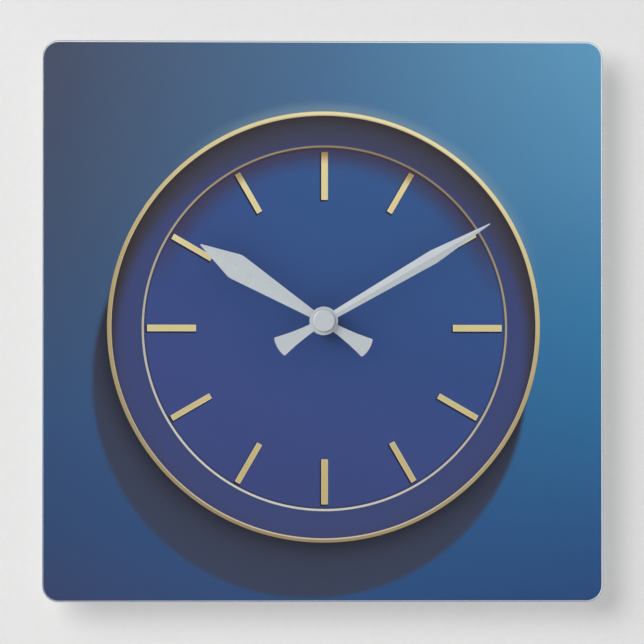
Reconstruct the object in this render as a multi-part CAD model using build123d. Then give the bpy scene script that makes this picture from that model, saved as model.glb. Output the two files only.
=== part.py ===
from build123d import *
import os
from math import acos, atan2, cos, degrees, hypot, pi, radians, sin, sqrt, tan

# Wall clock: a square clear acrylic face plate, reverse-printed with the picture of a round gold and
# blue dial, with two lance-shaped hands on a battery quartz movement that hangs the whole clock from
# a keyhole bracket.
#
# Every piece is drawn in the dial frame, in millimetres: x to the right and y up as the clock is read,
# and z out from the wall, so that z = 0 is the wall and the hands turn about x = y = 0. write() turns
# a piece into the part's frame, where +Z is up and the dial faces -Y.

# ---- Face plate and print ------------------------------------------------------------------------
PLATE_SIDE = 273.0
PLATE_THICKNESS = 5.0
PLATE_CORNER = 8.0
PLATE_EDGE = 0.5                 # polished round on the plate's edges
FILM = 0.1                       # each layer of print
ARTWORK_INSET = 0.6              # border round the coloured print, where the white shows
BACKING_INSET = 0.1
SHAFT_HOLE = 4.15                # radius of the hole for the threaded bushing

# ---- Depths out from the wall --------------------------------------------------------------------
CASE_DEPTH = 16.0
HANGER_SHEET = 1.0
GASKET = 0.8
HANGER_BACK = CASE_DEPTH
GASKET_BACK = HANGER_BACK + HANGER_SHEET
BACKING_BACK = GASKET_BACK + GASKET
ARTWORK_BACK = BACKING_BACK + FILM
PLATE_BACK = ARTWORK_BACK + FILM
PLATE_FRONT = PLATE_BACK + PLATE_THICKNESS
WASHER_THICKNESS = 0.5
NUT_THICKNESS = 2.0
NUT_BACK = PLATE_FRONT + WASHER_THICKNESS
BUSHING_FRONT = NUT_BACK + NUT_THICKNESS + 0.7

# ---- Hanger and clamping pieces ------------------------------------------------------------------
HANGER_HALF_WIDTH = 8.0
HANGER_RING = 11.0
HANGER_CRANK_Y = 29.0            # where the strap turns back toward the wall, clear of the case
HANGER_TOP = 43.0
HANGER_PLATE_BACK = 3.0
HANGER_TOP_ROUND = 5.0
HANGER_BEND = 0.9
KEYHOLE_RADIUS = 3.0
KEYHOLE_SLOT = 1.5               # half width of the slot, and the radius of its end
KEYHOLE_Y = 34.0
KEYHOLE_RISE = 5.0               # from the round hole's centre to the slot's end
GASKET_RADIUS = 12.0
WASHER_RADIUS = 6.2
NUT_ACROSS_FLATS = 11.0
NUT_CHAMFER = 0.35

# ---- Hands ---------------------------------------------------------------------------------------
HAND_SHEET = 0.4
HUB_RADIUS = 6.9
HUB_FLAT = 3.7                   # radius kept level at the back of the hub for the collet
HOUR_TURN = 58.2                 # degrees anticlockwise from twelve at rest
MINUTE_TURN = -59.7
HOUR_HAND_BACK = 27.2
MINUTE_HAND_BACK = 29.7
HOUR_SHAPE = {"reach": 70.4, "shoulder": 50.4, "half_width": 6.4, "root": 1.25, "slope": 3.5}
MINUTE_SHAPE = {"reach": 93.6, "shoulder": 61.8, "half_width": 3.4, "root": 1.75, "slope": 6.0}
TAIL_REACH = 26.0
TAIL_CORNER_REACH = 25.5
TAIL_HALF_ANGLE = 11.6
TAIL_ROOT = 1.6
TAIL_WAIST = (3.0, 15.0)         # half width and distance from the axis, on the tail's concave side
HOUR_EYE = 3.0                   # radius of each hand's hole, filled by its collet
MINUTE_EYE = 2.3
ARBOR_FLAT = 1.35                # half the distance across the minute arbor's flats
CAP_RADIUS = 5.3
CAP_BACK = 30.5
CAP_FRONT = 32.4

# ---- Coaxial shafts ------------------------------------------------------------------------------
BUSHING_OUTER = 3.95
BUSHING_INNER = 2.65
BUSHING_FLANGE = 5.2
THREAD_PITCH = 0.75
THREAD_DEPTH = 0.3
HOUR_TUBE_OUTER = 2.55
HOUR_TUBE_INNER = 1.7
MINUTE_TUBE_OUTER = 1.6
MINUTE_TUBE_INNER = 0.6
ARBOR = 0.5                      # radius of the thin arbors
PIVOT_CLEARANCE = 0.04

# ---- Movement case -------------------------------------------------------------------------------
CASE_SIDE = 56.0
CASE_CORNER = 3.0
CASE_WALL = 1.4
CASE_FLOOR = CASE_DEPTH - CASE_WALL
INSIDE = CASE_SIDE / 2 - CASE_WALL
TRAIN_BOTTOM = -10.6             # lower wall of the gear compartment
BAY_TOP = -12.1
BAY_BOTTOM = -26.9
BAY_FLOOR = 15.0
COVER_GAP = 0.1
COVER_THICKNESS = 1.4
BRIDGE_BACK = 9.0                # the middle plate that carries the train's front pivots
BRIDGE_FRONT = 9.8
BRIDGE_POSTS = [(-15.5, 14.8), (8.5, 15.5), (8.5, -8.2), (-20.5, -6.5)]
LATCH_X = 15.0
LATCH_HALF = 2.3
LATCH_PLAY = 0.3
NOTCH_HALF = 9.0                 # finger notch in the battery bay's lower wall
NOTCH_DEPTH = 6.5
ENGRAVING = 0.35
VENT_ROW = [12.0 + 2.6 * n for n in range(5)]

# ---- Battery, AA size ----------------------------------------------------------------------------
CELL_RADIUS = 7.25
CELL_LENGTH = 49.5
CELL_NUB = 1.0
CELL_X = -24.75                  # the flat of the positive end
CELL_Y = (BAY_TOP + BAY_BOTTOM) / 2
CELL_Z = 7.6
SLEEVE = 0.12
CONTACT = 0.3                    # thickness of the contact strips
CONTACT_HALF = 3.2
LEAD_BACK, LEAD_FRONT = 12.2, 13.8     # depths of the strips that lead from the bay to the circuit board
LEAD_TOP = 22.5

# ---- Circuit board, coil and stator --------------------------------------------------------------
PEG = 0.8
BOARD = (-INSIDE + CONTACT, 7.0, 18.8, 23.9)
BOARD_BACK = 12.0
BOARD_FRONT = 12.8
BOARD_MIDDLE = (BOARD[2] + BOARD[3]) / 2
BOARD_PEGS = (-20.0, 2.8)
COIL_X = 23.0
COIL_Z = 6.6
COIL_SPAN = (-3.5, 15.0)
BOBBIN_FLANGE = 0.8
CORE_HALF = 1.0
CORE_THICKNESS = 0.8
WINDING_OUTER = 3.1
WINDING_INNER = 1.9
WIRE = 0.12
STATOR_BACK = 6.2
STATOR_FRONT = 7.0
STATOR_PEGS_X = (13.2, COIL_X)
STATOR_PEGS_Y = (-6.9, 18.5)

# ---- Gears: teeth, module, and the two faces' depths ---------------------------------------------
PRESSURE_ANGLE = radians(25)
WHEEL_ADDENDUM = 0.70
PINION_ADDENDUM = 0.85
DEDENDUM = 1.20
FLANK_PLAY = 0.07                # taken off the pitch-line thickness of every tooth
THIRD_MODULE = 0.29
SECONDS_PINION, THIRD_WHEEL = 8, 60
THIRD_PINION, CENTRE_WHEEL = 8, 64
THIRD_DISTANCE = (SECONDS_PINION + THIRD_WHEEL) / 2 * THIRD_MODULE
CENTRE_MODULE = 2 * THIRD_DISTANCE / (THIRD_PINION + CENTRE_WHEEL)
SECONDS_MODULE = 0.30
INTERMEDIATE_PINION, SECONDS_WHEEL = 10, 50
INTERMEDIATE_DISTANCE = (INTERMEDIATE_PINION + SECONDS_WHEEL) / 2 * SECONDS_MODULE
ROTOR_MODULE = 0.25
ROTOR_PINION, INTERMEDIATE_WHEEL = 8, 48
ROTOR_DISTANCE = (ROTOR_PINION + INTERMEDIATE_WHEEL) / 2 * ROTOR_MODULE
MOTION_MODULE = 0.40
CANNON_PINION, MINUTE_WHEEL = 12, 36
MOTION_DISTANCE = (CANNON_PINION + MINUTE_WHEEL) / 2 * MOTION_MODULE
MINUTE_PINION, HOUR_WHEEL = 10, 40
HOUR_MODULE = 2 * MOTION_DISTANCE / (MINUTE_PINION + HOUR_WHEEL)
SETTING_PINION = 12


def away(start, distance, angle):
    """The point at that distance and angle, in degrees, from start."""
    return (start[0] + distance * cos(radians(angle)), start[1] + distance * sin(radians(angle)))


CENTRE = (0.0, 0.0)
THIRD_AXIS = away(CENTRE, THIRD_DISTANCE, 100)
INTERMEDIATE_AXIS = away(CENTRE, INTERMEDIATE_DISTANCE, 15)
ROTOR_AXIS = away(INTERMEDIATE_AXIS, ROTOR_DISTANCE, 30)
MINUTE_WHEEL_AXIS = away(CENTRE, MOTION_DISTANCE, 175)
SETTING_AXIS = away(MINUTE_WHEEL_AXIS, MOTION_DISTANCE, 150)

KNOB_RADIUS = 4.5
KNOB_POCKET = 5.4
KNOB_POCKET_DEPTH = 3.0


# ---- Small helpers -------------------------------------------------------------------------------
def rod(radius, back, front, at=CENTRE):
    """A round bar along z between two depths."""
    return Pos(at[0], at[1], (back + front) / 2) * Cylinder(radius, front - back)


def tube(outer, inner, back, front, at=CENTRE):
    return rod(outer, back, front, at) - rod(inner, back - 1, front + 1, at)


def block(x0, x1, y0, y1, back, front):
    """A box between two x, two y and two depths."""
    return Pos((x0 + x1) / 2, (y0 + y1) / 2, (back + front) / 2) * Box(x1 - x0, y1 - y0, front - back)


def rounded_slab(side_x, side_y, corner, back, front):
    return Pos(0, 0, back) * extrude(RectangleRounded(side_x, side_y, corner), amount=front - back)


def prism(points, back, front):
    """A closed outline through these points, drawn out between two depths."""
    outline = make_face(Polyline(*points, close=True))
    return Pos(0, 0, back) * extrude(outline, amount=front - back)


def write(name, shape):
    """Turns a piece from the dial frame into the part's frame and writes it."""
    export_step(Rot(90, 0, 0) * shape, f"parts/{name}.step")


# ---- Gear teeth ----------------------------------------------------------------------------------
def involute(angle):
    return tan(angle) - angle


def gear_points(teeth, module, addendum, phase):
    """The outline of a flat-sided involute gear about the origin. phase is one tooth's angle, in radians."""
    pitch = teeth * module / 2
    base = pitch * cos(PRESSURE_ANGLE)
    tip = pitch + addendum * module
    root = pitch - DEDENDUM * module
    half_at_pitch = pi / (2 * teeth) - FLANK_PLAY / (2 * pitch)

    def half_angle(radius):
        if radius <= base:
            return half_at_pitch + involute(PRESSURE_ANGLE)
        return half_at_pitch + involute(PRESSURE_ANGLE) - involute(acos(base / radius))

    radii = [root, pitch, tip]
    points = []
    for tooth in range(teeth):
        middle = phase + tooth * 2 * pi / teeth
        flank = [(r, middle - half_angle(r)) for r in radii]
        flank += [(r, middle + half_angle(r)) for r in reversed(radii)]
        points += [(r * cos(a), r * sin(a)) for r, a in flank]
    return points


def gear(teeth, module, addendum, back, front, axis, phase=0.0):
    return Pos(axis[0], axis[1], 0) * prism(gear_points(teeth, module, addendum, phase), back, front)


def meshing_phase(axis_a, teeth_a, phase_a, axis_b, teeth_b):
    """The phase that puts gear b's gap on gear a's tooth along the line between their axes."""
    line = atan2(axis_b[1] - axis_a[1], axis_b[0] - axis_a[0])
    return line + pi - (phase_a - line) * teeth_a / teeth_b + pi / teeth_b


MINUTE_WHEEL_PHASE = meshing_phase(CENTRE, CANNON_PINION, 0.0, MINUTE_WHEEL_AXIS, MINUTE_WHEEL)


def lightened(wheel, axis, hub, rim, back, front, windows=5):
    """Cuts a ring of round windows between a wheel's hub and rim."""
    middle, radius = (hub + rim) / 2, (rim - hub) / 2
    for n in range(windows):
        wheel -= rod(radius, back - 1, front + 1, away(axis, middle, n * 360 / windows))
    return wheel


# ---- Face plate and print ------------------------------------------------------------------------
def face_plate():
    plate = rounded_slab(PLATE_SIDE, PLATE_SIDE, PLATE_CORNER, PLATE_BACK, PLATE_FRONT)
    rims = plate.faces().sort_by(Axis.Z)[0].edges() + plate.faces().sort_by(Axis.Z)[-1].edges()
    return fillet(rims, PLATE_EDGE) - rod(SHAFT_HOLE, PLATE_BACK - 1, PLATE_FRONT + 1)


def print_layer(back, inset):
    """A coat of ink on the plate's back, stopping short of the plate's outline by the inset."""
    side = PLATE_SIDE - 2 * inset
    film = rounded_slab(side, side, PLATE_CORNER - inset, back, back + FILM)
    return film - rod(SHAFT_HOLE, back - 1, back + 1)


# ---- What clamps the movement to the plate -------------------------------------------------------
def hanger_bracket():
    """A sheet steel strap round the bushing, cranked back over the case to a keyhole plate."""
    half, crank, plate_back = HANGER_HALF_WIDTH, HANGER_CRANK_Y, HANGER_PLATE_BACK
    strap = rod(HANGER_RING, HANGER_BACK, GASKET_BACK)
    strap += block(-half, half, 0, crank + HANGER_SHEET, HANGER_BACK, GASKET_BACK)
    web = block(-half, half, crank, crank + HANGER_SHEET, plate_back, GASKET_BACK)
    plate = block(-half, half, crank, HANGER_TOP, plate_back, plate_back + HANGER_SHEET)
    plate = fillet(plate.edges().filter_by(Axis.Z).group_by(Axis.Y)[-1], HANGER_TOP_ROUND)
    bracket = strap + web + plate

    def on_outer_bend(edge):
        at = edge.center()
        return abs(at.Y - crank - HANGER_SHEET) < 0.01 and at.Z > CASE_DEPTH

    def on_inner_bend(edge):
        at = edge.center()
        return abs(at.Y - crank) < 0.01 and at.Z < CASE_DEPTH - 1

    bends = bracket.edges().filter_by(Axis.X)
    bracket = fillet(bends.filter_by(on_outer_bend) + bends.filter_by(on_inner_bend), HANGER_BEND)
    slot_end = KEYHOLE_Y + KEYHOLE_RISE
    keyhole = rod(KEYHOLE_RADIUS, 0, CASE_DEPTH, (0, KEYHOLE_Y))
    keyhole += block(-KEYHOLE_SLOT, KEYHOLE_SLOT, KEYHOLE_Y, slot_end, 0, CASE_DEPTH)
    keyhole += rod(KEYHOLE_SLOT, 0, CASE_DEPTH, (0, slot_end))
    keyhole &= block(-half, half, crank, HANGER_TOP, plate_back - 1, plate_back + HANGER_SHEET + 1)
    return bracket - keyhole - rod(SHAFT_HOLE, HANGER_BACK - 1, GASKET_BACK + 1)


def rubber_gasket():
    return tube(GASKET_RADIUS, SHAFT_HOLE, GASKET_BACK, BACKING_BACK)


def mounting_washer():
    return tube(WASHER_RADIUS, SHAFT_HOLE, PLATE_FRONT, NUT_BACK)


def hex_nut():
    """Clamps plate, gasket and bracket to the case. Its corners are turned off on both faces."""
    corner_radius = NUT_ACROSS_FLATS / 2 / cos(radians(30))
    nut_front = NUT_BACK + NUT_THICKNESS
    nut = Pos(0, 0, NUT_BACK) * extrude(RegularPolygon(corner_radius, 6), amount=NUT_THICKNESS)
    turned = rod(corner_radius, NUT_BACK, nut_front)
    turned = chamfer(turned.edges().filter_by(GeomType.CIRCLE), NUT_CHAMFER)
    return (nut & turned) - rod(BUSHING_OUTER + 0.05, NUT_BACK - 1, nut_front + 1)


def threaded_bushing():
    """A flanged brass tube pressed into the case. Its thread is rings of the right pitch, not a helix."""
    bushing = rod(BUSHING_FLANGE, CASE_FLOOR, CASE_FLOOR + 0.8)
    bushing += rod(BUSHING_OUTER, CASE_FLOOR, BUSHING_FRONT)
    half = THREAD_PITCH / 2 - 0.05
    grooves = int((BUSHING_FRONT - NUT_BACK) / THREAD_PITCH)
    for n in range(grooves):
        z = BUSHING_FRONT - 0.5 - n * THREAD_PITCH
        crest = BUSHING_OUTER + 0.1
        root = (BUSHING_OUTER - THREAD_DEPTH, z)
        section = Polyline(root, (crest, z + half), (crest, z - half), close=True)
        bushing -= revolve(Plane.XZ * make_face(section), Axis.Z)
    return bushing - rod(BUSHING_INNER, CASE_FLOOR - 1, BUSHING_FRONT + 1)


# ---- Movement case -------------------------------------------------------------------------------
def movement_case():
    """The moulded tub: gear compartment above, open battery bay below, one wall between them."""
    case = rounded_slab(CASE_SIDE, CASE_SIDE, CASE_CORNER, 0, CASE_DEPTH)
    front_rim = case.faces().sort_by(Axis.Z)[-1].edges()
    case = fillet(front_rim, 0.8)
    case -= block(-INSIDE, INSIDE, TRAIN_BOTTOM, INSIDE, -1, CASE_FLOOR)
    case -= block(-INSIDE, INSIDE, BAY_BOTTOM, BAY_TOP, -1, BAY_FLOOR)
    # A finger notch in the bay's lower wall, to lever the cell out.
    case -= block(-NOTCH_HALF, NOTCH_HALF, -CASE_SIDE / 2 - 1, BAY_BOTTOM + 1, -1, NOTCH_DEPTH)
    # Windows in the top wall and the divider for the cover's latches.
    for x in (-LATCH_X, LATCH_X):
        left, right = x - LATCH_HALF - LATCH_PLAY, x + LATCH_HALF + LATCH_PLAY
        case -= block(left, right, INSIDE - 1, CASE_SIDE / 2 + 1, 2.4, 4.4)
        case -= block(left, right, BAY_TOP - 1, TRAIN_BOTTOM + 1, 2.4, 4.4)
    # Corner posts that the cover rests on.
    for x in (-INSIDE, INSIDE - 2.5):
        for y in (TRAIN_BOTTOM, INSIDE - 2.5):
            case += block(x, x + 2.5, y, y + 2.5, COVER_THICKNESS, CASE_FLOOR)
    # Posts that carry the bridge, and the bearing bosses of the wheels that run in front of it.
    for at in BRIDGE_POSTS:
        case += rod(1.5, BRIDGE_FRONT, CASE_FLOOR, at)
    case += rod(1.3, 11.4, CASE_FLOOR, THIRD_AXIS)
    case -= rod(ARBOR + PIVOT_CLEARANCE, 11.0, 13.4, THIRD_AXIS)
    case -= rod(ARBOR + PIVOT_CLEARANCE, 14.0, 15.2, MINUTE_WHEEL_AXIS)
    case += rod(1.6, 13.2, CASE_FLOOR, SETTING_AXIS)
    case -= rod(ARBOR + PIVOT_CLEARANCE, 13.0, 15.0, SETTING_AXIS)
    # Pegs for the circuit board, and for the stator and coil core.
    for x in BOARD_PEGS:
        case += rod(PEG, BOARD_BACK - 0.3, CASE_FLOOR, (x, BOARD_MIDDLE))
        case += rod(PEG + 0.7, BOARD_FRONT, CASE_FLOOR, (x, BOARD_MIDDLE))
    for x in STATOR_PEGS_X:
        seat = STATOR_FRONT + (CORE_THICKNESS if x == COIL_X else 0)
        for y in STATOR_PEGS_Y:
            case += rod(PEG, STATOR_BACK - 0.4, CASE_FLOOR, (x, y))
            case += rod(PEG + 0.7, seat, CASE_FLOOR, (x, y))
    # Grooves in the side walls' posts and slots in the divider for the contacts' leads.
    for x in (-INSIDE, INSIDE - CONTACT):
        case -= block(x, x + CONTACT, BAY_TOP - 2.0, LEAD_TOP, LEAD_BACK, LEAD_FRONT)
    case -= rod(BUSHING_OUTER, CASE_FLOOR - 1, CASE_DEPTH + 1)
    return case - rod(BUSHING_FLANGE, CASE_FLOOR - 0.01, CASE_FLOOR + 0.8)


def back_cover():
    """The lid of the gear compartment, with the knob's pocket, pivot bosses, latches and vents."""
    edge = INSIDE - COVER_GAP
    cover = block(-edge, edge, TRAIN_BOTTOM + COVER_GAP, edge, 0, COVER_THICKNESS)
    cover += rod(KNOB_POCKET + 1.0, 0, KNOB_POCKET_DEPTH + 1.0, SETTING_AXIS)
    cover -= rod(KNOB_POCKET, -1, KNOB_POCKET_DEPTH, SETTING_AXIS)
    cover -= rod(1.0 + PIVOT_CLEARANCE, -1, KNOB_POCKET_DEPTH + 2, SETTING_AXIS)
    for at, top in ((CENTRE, 3.6), (THIRD_AXIS, 4.6), (INTERMEDIATE_AXIS, 3.0), (ROTOR_AXIS, 3.0)):
        cover += rod(1.4, COVER_THICKNESS, top, at)
        cover -= rod(ARBOR + PIVOT_CLEARANCE, COVER_THICKNESS, top + 1, at)
    # Latch tongues whose barbs sit in the case's windows.
    low = TRAIN_BOTTOM + COVER_GAP
    for x in (-LATCH_X, LATCH_X):
        left, right = x - LATCH_HALF, x + LATCH_HALF
        cover += block(left, right, edge - 1.0, edge, COVER_THICKNESS, 5.0)
        cover += block(left, right, edge, edge + 0.8, 2.7, 4.1)
        cover += block(left, right, low, low + 1.0, COVER_THICKNESS, 5.0)
        cover += block(left, right, low - 0.8, low, 2.7, 4.1)
    # A row of vent slots over the coil.
    for x in VENT_ROW:
        cover -= block(x, x + 1.2, 12.0, 22.0, -1, COVER_THICKNESS + 1)
    # Engraved polarity marks beside the bay and a setting arrow round the knob.
    plus = block(-24.5, -20.5, -8.3, -7.5, -1, ENGRAVING) + block(-22.9, -22.1, -9.9, -5.9, -1, ENGRAVING)
    minus = block(20.5, 24.5, -8.3, -7.5, -1, ENGRAVING)
    return cover - plus - minus - setting_arrow()


def setting_arrow():
    """A curved arrow round the knob's pocket, cut into the cover's face."""
    inner, outer = KNOB_POCKET + 1.6, KNOB_POCKET + 2.3
    ring = tube(outer, inner, -1, ENGRAVING, SETTING_AXIS)
    x, y = SETTING_AXIS
    ring &= block(x - 12, x + 12, y + 3.0, y + 12, -2, 2)
    middle = (inner + outer) / 2
    tip = away(SETTING_AXIS, middle, 14)
    arc_end = away(SETTING_AXIS, middle, degrees(atan2(3.0, sqrt(middle**2 - 9.0))) + 4)
    run, rise = tip[0] - arc_end[0], tip[1] - arc_end[1]
    length = hypot(run, rise)
    side = (-rise / length * 1.3, run / length * 1.3)
    left = (arc_end[0] + side[0], arc_end[1] + side[1])
    right = (arc_end[0] - side[0], arc_end[1] - side[1])
    return ring + prism([tip, left, right], -1, ENGRAVING)


def train_bridge():
    """The middle plate between the hand works and the going train."""
    bridge = block(-24, 10.6, -9.4, 17.5, BRIDGE_BACK, BRIDGE_FRONT)
    bridge += block(10.6, 18.6, 2.0, 9.6, BRIDGE_BACK, BRIDGE_FRONT)
    for axis in (INTERMEDIATE_AXIS, ROTOR_AXIS, MINUTE_WHEEL_AXIS):
        bridge -= rod(ARBOR + PIVOT_CLEARANCE, 0, CASE_DEPTH, axis)
    bridge -= rod(MINUTE_TUBE_OUTER + PIVOT_CLEARANCE, 0, CASE_DEPTH)
    bridge -= rod(1.8, 0, CASE_DEPTH, THIRD_AXIS)
    bridge -= rod(1.0 + 0.3, 0, CASE_DEPTH, SETTING_AXIS)
    return bridge


# ---- Battery and contacts ------------------------------------------------------------------------
def along_x(radius, x0, x1):
    """A round bar along x on the cell's axis."""
    return Pos((x0 + x1) / 2, CELL_Y, CELL_Z) * Rot(0, 90, 0) * Cylinder(radius, x1 - x0)


def battery_cell():
    """The steel can with its raised positive cap."""
    can = along_x(CELL_RADIUS - SLEEVE, CELL_X, CELL_X + CELL_LENGTH)
    can = fillet(can.edges().filter_by(GeomType.CIRCLE), 0.6)
    cap = along_x(2.6, CELL_X - CELL_NUB, CELL_X + 0.5)
    return can + fillet(cap.edges().filter_by(GeomType.CIRCLE).group_by(Axis.X)[0], 0.3)


def battery_sleeve():
    """The shrink sleeve, rolled a little over both ends of the can."""
    x0, x1 = CELL_X, CELL_X + CELL_LENGTH
    outside = along_x(CELL_RADIUS, x0 - SLEEVE, x1 + SLEEVE)
    outside = fillet(outside.edges().filter_by(GeomType.CIRCLE), 0.7)
    can = fillet(along_x(CELL_RADIUS - SLEEVE, x0, x1).edges().filter_by(GeomType.CIRCLE), 0.6)
    return outside - can - along_x(CELL_RADIUS - 1.6, x0 - 1, x1 + 1)


def contact_lead(x0, x1):
    """The narrow strip along a side wall, from the bay through the divider and up to the circuit board."""
    return block(x0, x1, BAY_TOP - 2.0, LEAD_TOP, LEAD_BACK, LEAD_FRONT)


def positive_contact():
    """A strip at the bay's left end, with a dimple for the cell's cap."""
    wall, touch = -INSIDE, CELL_X - CELL_NUB
    low = CELL_Y - CONTACT_HALF
    strip = block(wall, wall + CONTACT, low, BAY_TOP, CELL_Z - CONTACT_HALF, CELL_Z + CONTACT_HALF)
    strip += block(wall, wall + CONTACT, BAY_TOP - 2.0, BAY_TOP, CELL_Z, LEAD_FRONT)
    dimple = Pos((wall + touch) / 2, CELL_Y, CELL_Z) * Rot(0, 90, 0) * Cylinder(1.2, touch - wall)
    return strip + dimple + contact_lead(wall, wall + CONTACT)


def negative_contact():
    """A bowed leaf at the bay's right end that pushes the cell to the left, with a long arm to the board."""
    wall, cell_end = INSIDE, CELL_X + CELL_LENGTH + SLEEVE
    face = wall - CONTACT
    low, high = CELL_Y - 6.2, CELL_Y + 5.0
    back, front = CELL_Z - CONTACT_HALF, CELL_Z + CONTACT_HALF
    base = block(face, wall, low, BAY_TOP, back, front)
    base += block(face, wall, BAY_TOP - 2.0, BAY_TOP, CELL_Z, LEAD_FRONT)
    bow = ThreePointArc((face, low), (cell_end, CELL_Y), (face, high))
    inside = ThreePointArc((face, low + 0.8), (cell_end + CONTACT, CELL_Y), (face, high - 0.8))
    upper_end = Line((face, high), (face, high - 0.8))
    lower_end = Line((face, low + 0.8), (face, low))
    leaf = make_face([bow, upper_end, inside, lower_end])
    arm = block(4.5, wall, LEAD_TOP - 1.5, LEAD_TOP, BOARD_FRONT, BOARD_FRONT + CONTACT)
    return base + Pos(0, 0, back) * extrude(leaf, amount=front - back) + contact_lead(face, wall) + arm


# ---- Electronics and stepping motor --------------------------------------------------------------
def circuit_board():
    """A strip of board held on two pegs of the case."""
    board = block(*BOARD, BOARD_BACK, BOARD_FRONT)
    for x in BOARD_PEGS:
        board -= rod(PEG, 0, CASE_DEPTH, (x, BOARD_MIDDLE))
    return board


def driver_chip():
    """The clock circuit under its drop of black resin."""
    ball, height = 3.0, 1.4
    drop = Sphere(ball) & Pos(0, 0, ball - height / 2) * Box(2 * ball, 2 * ball, height)
    return Pos(-7.5, BOARD_MIDDLE, BOARD_BACK) * Rot(180, 0, 0) * Pos(0, 0, height - ball) * drop


def quartz_crystal():
    """The tuning-fork crystal in its little drawn can, with its two legs bent to the board."""
    radius, length, leg = 1.0, 6.0, 0.3
    x0, z = -17.5, BOARD_BACK - radius
    end = x0 + length
    can = Pos(x0 + length / 2, BOARD_MIDDLE, z) * Rot(0, 90, 0) * Cylinder(radius, length)
    can = fillet(can.edges().filter_by(GeomType.CIRCLE), 0.25)
    for y in (BOARD_MIDDLE - 0.55, BOARD_MIDDLE + 0.25):
        can += block(end - 0.5, end + 0.9, y, y + leg, z, z + leg)
        can += block(end + 0.6, end + 0.9, y, y + leg, z, BOARD_BACK)
    return can


def along_y(radius, y0, y1):
    return Pos(COIL_X, (y0 + y1) / 2, COIL_Z) * Rot(90, 0, 0) * Cylinder(radius, y1 - y0)


def coil_core():
    """The soft-iron bar through the coil, lying on the stator's two arms."""
    left, right = COIL_X - CORE_HALF, COIL_X + CORE_HALF
    core = block(left, right, -8.6, 20.0, STATOR_FRONT, STATOR_FRONT + CORE_THICKNESS)
    for y in STATOR_PEGS_Y:
        core -= rod(PEG, 0, CASE_DEPTH, (COIL_X, y))
    return core


def coil_bobbin():
    """A spool with a flange at each end and a slot through it for the core."""
    y0, y1 = COIL_SPAN
    flange = WINDING_OUTER + 0.3
    bobbin = along_y(WINDING_INNER, y0, y1)
    bobbin += along_y(flange, y0, y0 + BOBBIN_FLANGE) + along_y(flange, y1 - BOBBIN_FLANGE, y1)
    left, right = COIL_X - CORE_HALF, COIL_X + CORE_HALF
    return bobbin - block(left, right, y0 - 1, y1 + 1, STATOR_FRONT, STATOR_FRONT + CORE_THICKNESS)


def coil_winding():
    y0, y1 = COIL_SPAN
    return along_y(WINDING_OUTER, y0 + BOBBIN_FLANGE, y1 - BOBBIN_FLANGE) - along_y(WINDING_INNER, y0, y1)


def coil_leads():
    """The winding's two enamelled ends, taut from the coil's front to pads on the circuit board."""
    leads = []
    for y, pad_x in ((13.0, 5.8), (11.5, 4.6)):
        start = Vector(COIL_X - 1.0, y, COIL_Z + sqrt(WINDING_OUTER**2 - 1.0))
        pad = Vector(pad_x, BOARD[2] + 0.4, BOARD_BACK - WIRE)
        run = pad - start
        wire = Pos(0, 0, run.length / 2) * Cylinder(WIRE, run.length)
        leads.append(Plane(origin=start, z_dir=run) * wire)
    return Compound(children=leads)


def stator():
    """The motor's one-piece stator: two arms joined by a bar with the rotor's hole and its two notches."""
    right = COIL_X + CORE_HALF
    bar = block(11.3, 18.2, -8.8, 20.4, STATOR_BACK, STATOR_FRONT)
    bar += block(11.3, right, -8.8, -5.0, STATOR_BACK, STATOR_FRONT)
    bar += block(11.3, right, 16.6, 20.4, STATOR_BACK, STATOR_FRONT)
    bar -= rod(2.9, 0, CASE_DEPTH, ROTOR_AXIS)
    for angle in (50, 230):
        bar -= rod(0.35, 0, CASE_DEPTH, away(ROTOR_AXIS, 2.9, angle))
    for x in STATOR_PEGS_X:
        for y in STATOR_PEGS_Y:
            bar -= rod(PEG, 0, CASE_DEPTH, (x, y))
    return bar


# ---- Going train ---------------------------------------------------------------------------------
def rotor():
    """Plastic pinion and arbor of the stepping rotor."""
    phase = meshing_phase(INTERMEDIATE_AXIS, INTERMEDIATE_WHEEL, 0.0, ROTOR_AXIS, ROTOR_PINION)
    pinion = gear(ROTOR_PINION, ROTOR_MODULE, PINION_ADDENDUM, 4.0, 5.3, ROTOR_AXIS, phase)
    return pinion + rod(ARBOR, 1.6, BRIDGE_FRONT, ROTOR_AXIS) + rod(1.2, 5.3, 8.4, ROTOR_AXIS)


def rotor_magnet():
    return tube(2.5, 1.2, 5.5, 7.7, ROTOR_AXIS)


def intermediate_wheel():
    wheel = gear(INTERMEDIATE_WHEEL, ROTOR_MODULE, WHEEL_ADDENDUM, 4.3, 5.0, INTERMEDIATE_AXIS)
    wheel = lightened(wheel, INTERMEDIATE_AXIS, 1.9, 4.8, 4.3, 5.0)
    phase = meshing_phase(CENTRE, SECONDS_WHEEL, 0.0, INTERMEDIATE_AXIS, INTERMEDIATE_PINION)
    pinion = gear(INTERMEDIATE_PINION, SECONDS_MODULE, PINION_ADDENDUM, 5.0, 6.9, INTERMEDIATE_AXIS, phase)
    return wheel + pinion + rod(ARBOR, 1.6, BRIDGE_FRONT, INTERMEDIATE_AXIS)


def seconds_wheel():
    """Turns once a minute. Its long arbor ends inside the cap nut, where a seconds hand could sit."""
    wheel = gear(SECONDS_WHEEL, SECONDS_MODULE, WHEEL_ADDENDUM, 5.9, 6.6, CENTRE)
    wheel = lightened(wheel, CENTRE, 2.2, 6.2, 5.9, 6.6)
    pinion = gear(SECONDS_PINION, THIRD_MODULE, PINION_ADDENDUM, 6.6, 8.5, CENTRE)
    return wheel + pinion + rod(ARBOR, 1.6, CAP_FRONT - 0.9, CENTRE)


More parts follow.
